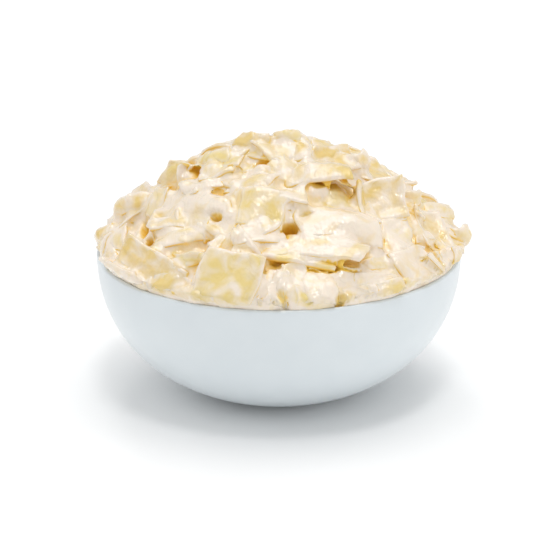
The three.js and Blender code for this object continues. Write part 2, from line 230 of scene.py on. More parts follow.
FRONT = {
    "front_square": Piece(
        LEAF, -16, 71.8, 4.6, 28, 25, 16, -7, -7, cup=0.8, twist=1.2, ripple=0.9, skew=0.08, coat=0.1
    ),
    "curl_leaf": Piece(
        SCRAP, -34, 67, 4.4, 16.7, 5.8, 30, 13, -3, cup=-3, arch=1, taper=0.15, skew=0.1, coat=0
    ),
    "left_long": Piece(LEAF, -46, 72.2, 3.6, 38, 14, 20, -12, 10, cup=-2.4, arch=1.4, coat=0.05),
    "rim_rib": Piece(RIB, -57, 79.2, 5.4, 34, 8.2, 30, 1, -3, cup=-1.8, taper=-0.1, coat=1.1),
    "left_under": Piece(LEAF, -37, 77, 1.6, 17, 13, 8, 9, 12, cup=-1.6, taper=-0.07, skew=0.16, coat=0.2),
    "left_shelf": Piece(
        LEAF, -80, 73.5, 2.6, 24.3, 12.1, 24, 34, 14, cup=-2.4, arch=-1.6, taper=-0.11, skew=-0.2
    ),
    "far_left": Piece(SCRAP, -84, 74.7, 5.2, 13.5, 7.9, 50, 40, 32, cup=-2.4, arch=-2, skew=-0.15),
    "strip_upper": Piece(
        LEAF, -50, 55.1, 2.8, 24.5, 8.6, -22, 43, 10, cup=-2, arch=-1, taper=-0.09, skew=-0.16
    ),
    "strip_lower": Piece(LEAF, -42, 59.1, 3, 24.7, 8.7, -20, 40, 0, cup=-2, arch=-1.4),
    "round_left": Piece(LEAF, -84, 61, 7.6, 18.3, 9, 41, 36, 44, cup=-3, arch=-2.4, skew=0.1, coat=0.3),
    "narrow_left": Piece(
        LEAF, -75, 53.3, 4, 11.8, 14.8, 22, 16, 7, cup=-1, taper=-0.09, skew=-0.09, coat=0.2
    ),
    "square_left": Piece(LEAF, -86, 42.2, 6.1, 14.6, 12.6, 42, 13, 41, cup=1, skew=0.38, coat=0.05),
    "yellow_left": Piece(
        LEAF, -78, 28.9, 4.6, 21.3, 7.4, 41, 40, 22, cup=-2.6, arch=-1, taper=-0.07, coat=0
    ),
    "top_yellow": Piece(
        LEAF, -60, 12.4, 5, 15.7, 7.8, 56, 15, 33, cup=-2, arch=-1.6, taper=-0.14, skew=0.12, coat=0
    ),
    "top_lump": Piece(
        LEAF, 41, 7.4, 5, 12.6, 7.4, 50, -10, -28, cup=-2.6, arch=-2, taper=-0.09, skew=-0.25
    ),
    "under_top": Piece(LEAF, -54, 13.1, 3.6, 31.1, 10.1, -6, 29, 0, cup=-1.6, arch=-1.2, taper=-0.23),
    "wave_shred": Piece(LEAF, -59, 30, 3.4, 15, 12.4, -12, 58, 0, cup=-1, ripple=1.4, taper=-0.06),
    "gold_leaf": Piece(SCRAP, -45, 23.5, 1, 11.9, 6.7, 4, 27, 7, taper=0.06, skew=-0.19, coat=0),
    "middle_scrap": Piece(SCRAP, -16, 24.7, 3.2, 8.3, 8.2, 8, 13, 0, cup=-1.6),
    "swirl_cream": Piece(
        LEAF, -53, 35.8, 2.4, 25.5, 9.7, 0, 48, 16,
        cup=-2.4, arch=-1.6, ripple=1.4, taper=0.09, skew=-0.11, coat=1,
    ),
    "coated_lump": Piece(
        LEAF, -47, 47.4, 2.6, 38.7, 14.5, 10, 15, 0, cup=-2.6, arch=-2.4, ripple=1, skew=-0.17, coat=1
    ),
    "slant_strip": Piece(LEAF, -35, 52.8, 3.4, 25.8, 4.1, -20, -9, 0, cup=-1.2, arch=-1, skew=-0.13),
    "fold_outer": Piece(
        LEAF, -22, 43.1, 4.6, 9.1, 19.4, 10, -6, -8, arch=-1.4, taper=0.14, skew=-0.27, coat=0.3
    ),
    "fold_inner": Piece(LEAF, -9, 43.8, 4.6, 19.4, 19.3, 14, -3, 0, crease=-2.4, crease_at=-0.5, coat=0.1),
    "top_cream": Piece(SCRAP, 38, 12.3, 3, 10.1, 15.5, 0, -28, -25, cup=-2.4, arch=-1.5, skew=0.11),
    "ridged_strip": Piece(
        LEAF, 32, 27.7, 5.2, 29.3, 14.4, -14, -25, -13, cup=-3.4, arch=-2, ripple=0.8, taper=-0.06
    ),
    "under_ridge": Piece(
        LEAF, 39, 39.4, 0.6, 11.5, 14.7, 0, -13, 0, cup=-2, arch=-1, taper=-0.13, coat=-0.1
    ),
    "top_right": Piece(
        LEAF, 78, 21.5, 4.1, 23.4, 9.6, 32, -32, -23, cup=1, taper=-0.06, skew=0.23, coat=0.05
    ),
    "small_right": Piece(SCRAP, 80, 33.6, 5.2, 9, 8.4, 44, 3, -56, cup=-2.4, arch=-1.5),
    "fold_right": Piece(
        LEAF, 58, 47, 4.6, 22.4, 19.3, 23, -22, -11,
        cup=3, arch=1.8, taper=-0.04, skew=0.06, crease=5.2, crease_at=-0.5, coat=0.1,
    ),
    "side_scrap": Piece(SCRAP, 84, 56.3, 4.1, 8.5, 8, 43, -10, -52, cup=-2, taper=0.07, skew=0.16),
    "big_cream": Piece(
        LEAF, 28, 51.4, 4, 36.3, 17.2, -2, -25, -6, cup=-2.4, arch=-2, ripple=1.4, skew=-0.13, coat=1
    ),
    "yellow_patch": Piece(SCRAP, 37, 53.6, 5, 13.3, 7.2, 4, -6, 0, cup=-1, taper=0.1, coat=0),
    "cream_flap": Piece(
        LEAF, 17, 59.8, 4.4, 37.1, 13.1, -20, -29, -9, cup=-2, arch=-1, ripple=1, taper=0.1, coat=0.8
    ),
    "cream_middle": Piece(LEAF, -8, 54.6, 3.4, 23.6, 8.1, -6, 15, 20, cup=-2, arch=-1, ripple=1, coat=0.9),
    "bar_strip": Piece(RIB, 6, 62.5, 5.4, 34.7, 5.6, -12, -16, 0, cup=-2),
    "bar_under": Piece(RIB, 14, 66.6, 3.6, 9.8, 4, -6, -30, 0, taper=0.07, skew=-0.09, coat=0.1),
    "lower_scrap": Piece(SCRAP, 35, 67.9, 4.4, 16.4, 5.8, 12, -6, 0, cup=-1.6, taper=-0.23),
    "step_scrap": Piece(
        SCRAP, 33, 73.9, 3.2, 23.4, 6.9, 6, -12, 0, cup=-2, taper=-0.08, skew=-0.1, coat=0.6
    ),
    "beside_cream": Piece(
        LEAF, 52, 61.7, 2.8, 14.3, 18.3, 0, -24, -10, cup=-2, ripple=1.4, skew=0.2, coat=0.8
    ),
    "big_right": Piece(LEAF, 50, 73.6, 4, 22.3, 18, 8, -8, -5, cup=-2.6, ripple=1.4, skew=-0.14, coat=0.6),
    "cup_right": Piece(LEAF, 75, 66.4, 4.6, 17, 22.3, 14, -39, -16, cup=4.2, arch=1.6, coat=0.15),
    "fibrous": Piece(LEAF, 90, 66.2, 6.1, 16.7, 7.5, 33, -37, -47, cup=-2, arch=-1),
    "round_right": Piece(SCRAP, 83, 76.5, 6.2, 8.5, 9.5, 43, 0, -51, cup=-2.4, arch=-2),
    "rim_right": Piece(SCRAP, 74, 79, 3.2, 15.9, 10.3, 25, -25, 5, cup=-1.4, skew=0.13),
    "rim_corner": Piece(
        SCRAP, 63, 76.4, 2.4, 25.2, 12.2, 4, -1, 25, cup=-1.4, taper=0.25, skew=-0.15, coat=0.2
    ),
    "rim_white": Piece(LEAF, 31, 78.2, 3.2, 25.3, 11, 10, -11, -15, cup=-2, taper=-0.23, skew=0.12),
    "cream_mass": Piece(LEAF, 10, 73.5, 3, 22, 17, 0, -11, -12, cup=-3, arch=-2.4, skew=-0.22, coat=1),
    "fan_left": Piece(RIB, -5, 73.4, 3.6, 17.5, 4.2, 0, 62, 0, cup=-0.8, coat=0.7),
    "fan_middle": Piece(RIB, -2, 73.8, 3.8, 17.9, 3.8, 0, 70, 0, cup=-0.8, coat=0.6),
    "fan_right": Piece(RIB, 1, 73, 3.4, 16.9, 4.3, 0, 76, 0, cup=-0.8, skew=0.09, coat=0.7),
}


@dataclass(frozen=True)
class Hollow:
    """A gap between the pieces that the cream leaves open: where it is, and how wide, long and deep in mm.

    Where it is through, it opens the pieces over it as well. With a depth under 0 it is a mound of cream.
    top is the height over the dome up to which it moves anything.
    """

    az: float
    r: float
    width: float
    length: float
    depth: float
    turn: float = 0
    through: bool = False
    top: float = 12


HOLLOWS = {
    "dark_triangle": Hollow(5.3, 50.2, 8.5, 6, 9, 35),
    "golden": Hollow(48, 37, 16, 12, 4.5),
    "small_hole": Hollow(-31, 49, 6, 3.4, 6, through=True),
    "left_slit": Hollow(-71, 62, 13, 5, 6, -25),
    "left_spot": Hollow(-60, 64.1, 5.5, 4.5, 6),
    "top_shade": Hollow(-17.4, 18.2, 8, 6, 6),
    "narrow": Hollow(14.7, 45, 7, 2.6, 1.8, through=True),
    "under_ribs": Hollow(15.5, 66.8, 14, 4, 7, -10),
    "right_slit": Hollow(59.2, 74, 6, 13, 6, 20, through=True),
    "fan_shade": Hollow(1.3, 76.6, 4.5, 10, 2.8, 28, through=True),
    "lip_shade": Hollow(18.5, 77.5, 6, 6, 4, 20, through=True),
    "under_square": Hollow(0.4, 63.3, 10, 3.5, 5),
}

MOUNDS = {
    "beside_square": Hollow(-76, 39.5, 13, 12, -5, top=5),
    "beside_ridge": Hollow(27, 34, 12, 11, -3.4, top=1.6),
    "beside_bar": Hollow(23.5, 69, 17, 12, -4.2, top=1.8),
}


@dataclass(frozen=True)
class BowlShape:
    """The bowl's sizes and its curves, the same as the solid's."""

    rim_radius: float = 80
    height: float = 63.5
    base_radius: float = 26
    belly_low: tuple[float, float] = (51, 5.5)
    belly_high: tuple[float, float] = (80, 24)
    base_wall: float = 4
    lip_wall: float = 2.4

    def corners(self) -> np.ndarray:
        """Gives the four points that shape the outer curve, from the base to the lip."""
        top = (self.rim_radius, self.height - self.lip_wall / 2)
        return np.array([(self.base_radius, 0), self.belly_low, self.belly_high, top], float)

    def outer(self, t: np.ndarray) -> np.ndarray:
        """Gives points on the outer curve.

        Args:
            t: places along the curve, 0 at the foot and 1 at the lip.

        Returns:
            An array of distances from the axis and heights.
        """
        a, b, c, d = self.corners()
        t = np.asarray(t, float)[:, None]
        return a * (1 - t) ** 3 + 3 * b * t * (1 - t) ** 2 + 3 * c * t * t * (1 - t) + d * t**3

    def inward(self, t: np.ndarray) -> np.ndarray:
        """Gives the unit normals that point into the wall from the outer curve.

        Args:
            t: places along the curve, 0 at the foot and 1 at the lip.

        Returns:
            An array of normals, outwards and upwards.
        """
        a, b, c, d = self.corners()
        t = np.asarray(t, float)[:, None]
        along = (b - a) * (1 - t) ** 2 + 2 * (c - b) * t * (1 - t) + (d - c) * t * t
        along /= np.linalg.norm(along, axis=1, keepdims=True)
        return np.stack([-along[:, 1], along[:, 0]], axis=1)

    def inner(self, t: np.ndarray, clearance: float = 0) -> np.ndarray:
        """Gives points on the inner curve, moved in by a clearance.

        Args:
            t: places along the curve, 0 at the foot and 1 at the lip.
            clearance: distance from the wall in mm.

        Returns:
            An array of distances from the axis and heights.
        """
        wall = self.base_wall + (self.lip_wall - self.base_wall) * np.asarray(t, float)[:, None]
        return self.outer(t) + self.inward(t) * (wall + clearance)


@dataclass(frozen=True)
class HeapShape:
    """The dome that the pieces lie on, and the space that the bowl leaves them."""

    bowl: BowlShape = BowlShape()
    radius: float = 79.6
    rise: float = 48
    power: float = 1.65
    core_sink: float = 1.6
    gap: float = 0.35
    dig: float = 0.7
    lip_slope: float = 2.5
    wall_rings: int = 41
    hollow_edge: tuple[float, float] = (0.3, 1.15)
    hollow_fade: float = 1
    hollow_reach: float = 2
    ripple_across: float = 2.6
    ripple_along: float = 2.1
    ripple_shift: float = 1.7
    crease_round: float = 0.03
    crease_drop: float = 0.5
    settle_grid: int = 5

    def height(self, r: np.ndarray | float) -> np.ndarray | float:
        """Gives the height of the dome at a distance from the axis."""
        return self.bowl.height + self.rise * (1 - (r / self.radius) ** self.power)

    def slope(self, r: np.ndarray | float) -> np.ndarray | float:
        """Gives how steeply the dome falls at a distance from the axis."""
        return self.power * self.rise * r ** (self.power - 1) / self.radius**self.power

    def opened(self, points: np.ndarray, hollow: Hollow) -> tuple[np.ndarray, np.ndarray]:
        """Gives how far points are pushed into the dome by a hollow.

        Args:
            points: rows of x, y and z in mm.
            hollow: the gap that is opened.

        Returns:
            Rows of x, y and z in mm, and for each point how far it is in the hollow, from 0 to 1.
        """
        lie = np.array(self.lie(Piece(LEAF, hollow.az, hollow.r, lift=0, w=0, l=0, spin=hollow.turn)))
        x, y, z = ((points - lie[:3, 3]) @ lie[:3, :3]).T
        near = np.sqrt((2 * x / hollow.width) ** 2 + (2 * y / hollow.length) ** 2)
        share = 1 - smoothstep(*self.hollow_edge, near)
        share *= smoothstep(hollow.top + self.hollow_fade, hollow.top - self.hollow_fade, z)
        share *= z > -self.hollow_reach * abs(hollow.depth)
        return -hollow.depth * share[:, None] * lie[:3, 2], share

    def pushed(self, points: np.ndarray, hollows: Iterable[Hollow]) -> np.ndarray:
        """Moves points by some hollows, each as deep as if it were alone."""
        return points + sum(self.opened(points, hollow)[0] for hollow in hollows)

    def keep_clear(self, points: np.ndarray, margin: float, clear: float = 1) -> np.ndarray:
        """Moves points that would cross the bowl back inside it, or onto the slope that starts over its lip.

        Args:
            points: rows of x, y and z in mm.
            margin: distance to keep from the bowl.
            clear: height above the lip at which points may begin to reach out.

        Returns:
            The points, moved where they had to be.
        """
        wall = self.bowl.inner(np.linspace(0, 1, self.wall_rings), self.gap)
        free = np.maximum(0, points[:, 2] - self.bowl.height - clear - margin) * self.lip_slope
        limit = np.interp(points[:, 2], wall[:, 1], wall[:, 0]) - margin + free
        reach = np.hypot(points[:, 0], points[:, 1])
        shrink = np.minimum(1, limit / np.maximum(reach, TINY))
        points[:, :2] *= shrink[:, None]
        return points

    def lie(self, piece: Piece) -> Matrix:
        """Gives the place and turn of a piece on the dome.

        Args:
            piece: the piece that is laid.

        Returns:
            A matrix whose x runs across the piece, y up the slope, and z away from the dome.
        """
        az = math.radians(piece.az)
        out = Vector((math.sin(az), -math.cos(az), 0))
        side = Vector((math.cos(az), math.sin(az), 0))
        uphill = Vector((-out.x, -out.y, self.slope(piece.r))).normalized()
        normal = side.cross(uphill)
        spot = out * piece.r + Vector((0, 0, self.height(piece.r))) + normal * piece.lift
        basis = Matrix((side, uphill, normal)).transposed().to_4x4()
        lie = Matrix.Translation(spot) @ basis
        for angle, axis in ((piece.lean, "X"), (piece.spin, "Z"), (piece.pitch, "X"), (piece.roll, "Y")):
            lie @= Matrix.Rotation(math.radians(angle), 4, axis)
        return lie

    def surface(self, piece: Piece, lie: Matrix, u: np.ndarray, v: np.ndarray) -> np.ndarray:
        """Gives points on the middle surface of a piece.

        Args:
            piece: the piece.
            lie: its place and turn.
            u: places across it, from -1 to 1.
            v: places along it, from -1 to 1.

        Returns:
            Rows of x, y and z in mm.
        """
        shift = self.ripple_shift * piece.phase
        wave = np.sin(self.ripple_across * u + piece.phase) * np.cos(self.ripple_along * v + shift)
        x = piece.w / 2 * (u * (1 + piece.taper * v) + piece.skew * v)
        y = piece.l / 2 * v * (1 - piece.taper * u)
        bend = np.sqrt((u - piece.crease_at) ** 2 + self.crease_round)
        fold = piece.crease * (bend - self.crease_drop)
        z = piece.cup * u * u + piece.arch * v * v + piece.twist * u * v + piece.ripple * wave + fold
        turn = np.array(lie)
        points = np.stack([x, y, z], axis=1) @ turn[:3, :3].T + turn[:3, 3]
        return self.keep_clear(points, piece.kind.thickness / 2)

    def settled(self, piece: Piece) -> Matrix:
        """Lowers a piece until its underside goes into the core.

        Args:
            piece: the piece.

        Returns:
            Its place and turn once it is lowered.
        """
        lie = self.lie(piece)
        places = np.linspace(-1, 1, self.settle_grid)
        u, v = (axis.ravel() for axis in np.meshgrid(places, places))
        points = self.surface(piece, lie, u, v)
        r = np.hypot(points[:, 0], points[:, 1])
        above = (points[:, 2] - self.height(r) + self.core_sink) / np.hypot(1, self.slope(r))
        spare = float(above.min()) - piece.kind.thickness / 2 + self.dig
        if spare > 0:
            lie = self.lie(replace(piece, lift=piece.lift - spare))
        return lie


def turned(profile: np.ndarray, steps: int) -> bmesh.types.BMesh:
    """Spins a profile into a closed solid of revolution.

    Args:
        profile: rows of distance from the axis and height in mm, starting and ending on the axis.
        steps: faces round the axis.

    Returns:
        A new bmesh, in metres.
    """
    bm = bmesh.new()
    verts = [bm.verts.new((r * MM, 0, z * MM)) for r, z in profile]
    edges = [bm.edges.new(pair) for pair in zip(verts, verts[1:])]
    bmesh.ops.spin(
        bm, geom=verts + edges, cent=(0, 0, 0), axis=(0, 0, 1), angle=math.tau, steps=steps, use_merge=True
    )
    bmesh.ops.remove_doubles(bm, verts=bm.verts, dist=MM / 1000)
    bmesh.ops.recalc_face_normals(bm, faces=bm.faces)
    return bm


def add_object(name: str, bm: bmesh.types.BMesh, material: bpy.types.Material | None) -> bpy.types.Object:
    """Puts a bmesh into the scene as a smooth-shaded object.

    Args:
        name: the object's name.
        bm: its shape, which is freed.
        material: its finish, or None for a body that only shapes another.

    Returns:
        The new object.
    """
    mesh = bpy.data.meshes.new(name)
    bm.to_mesh(mesh)
    bm.free()
    mesh.shade_smooth()
    if material:
        mesh.materials.append(material)
    made = bpy.data.objects.new(name, mesh)
    bpy.context.scene.collection.objects.link(made)
    return made


def coordinates(mesh: bpy.types.Mesh) -> np.ndarray:
    """Reads a mesh's points.

    Args:
        mesh: the mesh.

    Returns:
        Rows of x, y and z in metres.
    """
    flat = np.empty(len(mesh.vertices) * 3)
    mesh.vertices.foreach_get("co", flat)
    return flat.reshape(-1, 3)


def normals(mesh: bpy.types.Mesh) -> np.ndarray:
    """Reads the normals of a mesh's points.

    Args:
        mesh: the mesh.

    Returns:
        Rows of x, y and z, each 1 long.
    """
    flat = np.empty(len(mesh.vertices) * 3, np.float32)
    mesh.vertex_normals.foreach_get("vector", flat)
    return flat.reshape(-1, 3).astype(float)


def write_coordinates(mesh: bpy.types.Mesh, points: np.ndarray) -> None:
    """Writes rows of x, y and z back to a mesh."""
    mesh.vertices.foreach_set("co", points.ravel())
    mesh.update()


def write_vectors(mesh: bpy.types.Mesh, name: str, values: np.ndarray) -> None:
    """Stores a vector on every point of a mesh."""
    stored = mesh.attributes.new(name, "FLOAT_VECTOR", "POINT")
    stored.data.foreach_set("vector", np.asarray(values, np.float32).ravel())


def write_attribute(mesh: bpy.types.Mesh, name: str, values: np.ndarray) -> None:
    """Stores one number for each point of a mesh, for its material to read."""
    layer = mesh.attributes.new(name, "FLOAT", "POINT")
    layer.data.foreach_set("value", np.asarray(values, np.float32))


def read_attribute(mesh: bpy.types.Mesh, name: str) -> np.ndarray:
    """Reads the numbers that are stored on a mesh's points.

    Args:
        mesh: the mesh.
        name: the name that they are stored under.

    Returns:
        One number for each point.
    """
    values = np.empty(len(mesh.vertices), np.float32)
    mesh.attributes[name].data.foreach_get("value", values)
    return values


def shape_by(piece: bpy.types.Object, kind: str, **settings: object) -> None:
    """Applies one modifier to an object's mesh.

    Args:
        piece: the object.
        kind: Blender's name for the modifier's type.
        settings: the modifier's settings.
    """
    modifier = piece.modifiers.new(kind.title(), kind)
    for name, value in settings.items():
        setattr(modifier, name, value)
    bpy.context.view_layer.update()
    shaped = bpy.data.meshes.new_from_object(piece.evaluated_get(bpy.context.evaluated_depsgraph_get()))
    piece.modifiers.clear()
    old = piece.data
    piece.data = shaped
    bpy.data.meshes.remove(old)


@dataclass(frozen=True)
class Porcelain:
    """White glazed porcelain, fired glossy: a cool white body under a clear, softly shining glaze."""

    body: str = "#e2e9ec"
    shade: str = "#dbe3e7"
    ior: float = 1.52
    roughness: float = 0.32
    glaze: float = 0.3
    glaze_roughness: float = 0.2
    wave_mm: float = 14
    wave_detail: float = 2
    wave_height_mm: float = 0.05

    def material(self) -> bpy.types.Material:
        """Makes the glaze, with the slight waviness that fired glaze keeps.

        Returns:
            The bowl's material.
        """
        made, tree, shader = new_material("glazed_porcelain")
        place = add_node(tree, "ShaderNodeTexCoord").outputs["Object"]
        pattern = {"Vector": place, "Scale": 1 / (self.wave_mm * MM), "Detail": self.wave_detail}
        wave = add_node(tree, "ShaderNodeTexNoise", pattern).outputs["Fac"]
        tones = {0: wave, 6: rgb(self.body), 7: rgb(self.shade)}
        tone = add_node(tree, "ShaderNodeMix", tones, data_type="RGBA").outputs[2]
        relief = {"Height": wave, "Distance": self.wave_height_mm * MM}
        tree.links.new(tone, shader.inputs["Base Color"])
        tree.links.new(add_node(tree, "ShaderNodeBump", relief).outputs[0], shader.inputs["Normal"])
        set_values(
            shader,
            {
                "Roughness": self.roughness,
                "IOR": self.ior,
                "Coat Weight": self.glaze,
                "Coat Roughness": self.glaze_roughness,
            },
        )
        return made


@dataclass(frozen=True)
class CreamedLeaf:
    """Blanched white cabbage under a film of cream: pale yellow leaf that shows where the film is thin.

    The cream gathers in patches and along the edges, so a face is yellow in the middle and nearly white at
    its rim; the whiter rim is partly a painted highlight. Places shut in between the pieces are painted a
    golden shade. The two shares of painted shade say how shut in a place is where each shade colour starts
    and where it is full.
    """

    name: str = "creamed_cabbage_leaf"
    leaf: str = "#edd68c"
    leaf_deep: str = "#ebcc7e"
    cream: str = "#f5e7d5"
    # Painted shade: these two golden colours are laid where a place is shut in between the pieces, the first
    # where it is a little shut in, the second deep in the gaps.
    painted_shade: str = "#fad984"
    painted_shade_at: tuple[float, float] = (0.06, 0.3)
    hollow: str = "#f5ca4c"
    painted_hollow_shade_at: tuple[float, float] = (0.26, 0.52)
    scatter_mm: tuple[float, float, float] = (1.0, 0.75, 0.45)
    scatter: float = 0.12
    ior: float = 1.4
    roughness: float = 0.42
    wet: float = 0.8
    wet_roughness: float = 0.05
    wet_ior: float = 1.6
    wet_relief_mm: float = 0.3
    patch_mm: float = 9
    patch_detail: float = 2
    patch_stir: float = 0.8
    patch_at: tuple[float, float] = (0.3, 0.7)
    patch_swing: float = 0.5
    speck_mm: float = 1.8
    speck_detail: float = 3
    speck_relief_mm: float = 0.16
    fibre_mm: float = 1.1
    fibre_detail: float = 2
    fibre_stretch: float = 8
    fibre_relief_mm: float = 0.2
    fold_mm: float = 5
    fold_detail: float = 1
    fold_stir: float = 1.2
    fold_relief_mm: float = 0.35

    def colour(self, tree: Tree, place: Socket) -> Socket:
        """Works out the colour from the leaf's tone, its film of cream and how shut in it lies.

        Args:
            tree: the material's node tree.
            place: the coordinates that the patches of cream lie on.

        Returns:
            The output socket that gives the colour.
        """
        patches = add_node(
            tree,
            "ShaderNodeTexNoise",
            {
                "Vector": place,
                "Scale": 1 / (self.patch_mm * MM),
                "Detail": self.patch_detail,
                "Distortion": self.patch_stir,
            },
        )
        swing = add_node(
            tree,
            "ShaderNodeMapRange",
            {
                "Value": patches.outputs["Fac"],
                "From Min": self.patch_at[0],
                "From Max": self.patch_at[1],
                "To Min": -self.patch_swing,
                "To Max": self.patch_swing,
            },
        )
        coat, tone, shut = (
            add_node(tree, "ShaderNodeAttribute", attribute_name=name).outputs["Fac"]
            for name in ("coat", "tone", "hollow")
        )
        film = add_node(tree, "ShaderNodeMath", {0: coat, 1: swing.outputs[0]}, use_clamp=True)
        # Shares of painted shade, from how shut in a place is: first a light golden, then a deep golden in
        # the gaps.
        near, deep = (
            add_node(
                tree,
                "ShaderNodeMapRange",
                {"Value": shut, "From Min": start, "From Max": end},
                interpolation_type="SMOOTHSTEP",
            ).outputs[0]
            for start, end in (self.painted_shade_at, self.painted_hollow_shade_at)
        )
        colour = rgb(self.leaf)
        for share, code in (
            (tone, self.leaf_deep),
            (film.outputs[0], self.cream),
            (near, self.painted_shade),
            (deep, self.hollow),
        ):
            tones = {0: share, 6: colour, 7: rgb(code)}
            colour = add_node(tree, "ShaderNodeMix", tones, data_type="RGBA").outputs[2]
        return colour

    def material(self) -> bpy.types.Material:
        """Makes the leaf's colours, its film of cream and its wet surface.

        Returns:
            The material of the pieces or of the cream.
        """
        made, tree, shader = new_material(self.name)
        place = add_node(tree, "ShaderNodeTexCoord").outputs["Object"]
        own = add_node(tree, "ShaderNodeAttribute", attribute_name="own_place").outputs["Vector"]
        folds, specks, fibres = (
            add_node(
                tree,
                "ShaderNodeTexNoise",
                {"Vector": vector, "Scale": 1 / size, "Detail": detail, "Distortion": stir},
            ).outputs["Fac"]
            for vector, size, detail, stir in (
                (place, self.fold_mm * MM, self.fold_detail, self.fold_stir),
                (place, self.speck_mm * MM, self.speck_detail, 0),
                (own, self.fibre_mm, self.fibre_detail, 0),
            )
        )
        relief = {"Height": folds, "Distance": self.fold_relief_mm * MM}
        folded = add_node(tree, "ShaderNodeBump", relief).outputs[0]
        speckled, wet = (
            add_node(
                tree, "ShaderNodeBump", {"Height": specks, "Distance": depth * MM, "Normal": folded}
            ).outputs[0]
            for depth in (self.speck_relief_mm, self.wet_relief_mm)
        )
        relief = {"Height": fibres, "Distance": self.fibre_relief_mm * MM, "Normal": speckled}
        fibrous = add_node(tree, "ShaderNodeBump", relief).outputs[0]
        tree.links.new(self.colour(tree, place), shader.inputs["Base Color"])
        tree.links.new(fibrous, shader.inputs["Normal"])
        tree.links.new(wet, shader.inputs["Coat Normal"])
        set_values(
            shader,
            {
                "Roughness": self.roughness,
                "IOR": self.ior,
                "Coat Weight": self.wet,
                "Coat Roughness": self.wet_roughness,
                "Coat IOR": self.wet_ior,
                "Subsurface Weight": self.scatter,
                "Subsurface Scale": MM,
                "Subsurface Radius": self.scatter_mm,
            },
        )
        return made


@dataclass
class Bowl:
    """The bowl: one turned piece of porcelain with a rounded lip and a flat base."""

    shape: BowlShape
    finish: Porcelain = Porcelain()
    steps: int = 144
    wall_rings: int = 40
    lip_rings: int = 8

    def profile(self) -> np.ndarray:
        """Gives the section of the wall.

        Returns:
            Distances from the axis and heights in mm, from the axis under the base round to the axis inside.
        """
        shape = self.shape
        t = np.linspace(0, 1, self.wall_rings)
        outside = shape.outer(t)
        half = shape.lip_wall / 2
        turn = np.linspace(0, math.pi, self.lip_rings + 1)[1:-1]
        lip = np.stack([np.cos(turn), np.sin(turn)], axis=1) * half
        lip += (shape.rim_radius - half, shape.height - half)
        inside = shape.inner(t[::-1])
        return np.concatenate([[(0, 0)], outside, lip, inside, [(0, inside[-1, 1])]])

    def build(self) -> bpy.types.Object:
        """Makes the bowl.

        Returns:
            The bowl's object.
        """
        bowl = add_object("porcelain_bowl", turned(self.profile(), self.steps), self.finish.material())
        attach(bowl, BODY)
        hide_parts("bowl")
        return bowl


# Loose pieces draw their values from these ranges, in this order. Those of a scattered piece's l, cup and
# arch are shares of its width.
FILL = {
    "lift": (1.8, 4),
    "w": (18, 27),
    "l": (15, 21),
    "lean": (-26, 18),
    "spin": (-180, 180),
    "pitch": (-8, 8),
    "roll": (-8, 8),
    "cup": (-4, 2),
    "arch": (-3, 1.6),
    "twist": (-1.6, 1.6),
    "ripple": (0.4, 1.4),
    "taper": (-0.22, 0.22),
    "skew": (-0.25, 0.25),
    "phase": (0, 6),
}
FILL_SIZES = {LEAF: {}, SCRAP: {"w": (11, 15), "l": (9, 13)}, RIB: {"l": (4.5, 7)}}
FILL_KINDS = ((LEAF, 0.62), (SCRAP, 0.8), (RIB, 1))
RIM = {
    "az": (-3, 3),
    "r": (75, 78),
    "lift": (0.4, 2.4),
    "w": (11, 21),
    "l": (8, 13),
    "lean": (-12, 16),
    "spin": (-35, 35),
    "roll": (-12, 12),
    "cup": (-3, 1),
    "arch": (-2, 1),
    "ripple": (0.4, 1.2),
    "taper": (-0.2, 0.2),
    "phase": (0, 6),
    "coat": (0.2, 0.8),
}
SCATTER = {
    "l": (0.6, 0.95),
    "lean": (-38, 14),
    "spin": (-180, 180),
    "pitch": (-14, 14),
    "roll": (-14, 14),
    "cup": (-0.2, 0.1),
    "arch": (-0.15, 0.1),
    "ripple": (0.4, 1.4),
    "taper": (-0.25, 0.25),
    "skew": (-0.3, 0.3),
    "phase": (0, 6),
    "coat": (0.1, 0.7),
}
SLIM_SIZES = {RIB: {"l": (4.5, 6.5)}, SHRED: {"l": (2.6, 4)}}
BENDS = ("arch", "twist", "taper", "skew")


@dataclass(frozen=True)
class Layer:
    """A set of scattered pieces: how many, their draw and kinds, how wide they are and how high they lie."""

    count: int
    seed: int
    kinds: tuple[Kind, ...]
    width: tuple[float, float]
    lift: tuple[float, float]


UNDER = Layer(90, 11, (LEAF, LEAF, SCRAP, RIB), (14, 24), (-1.5, 1.6))
BITS = Layer(22, 23, (SCRAP, SHRED), (6, 11), (1.2, 3))


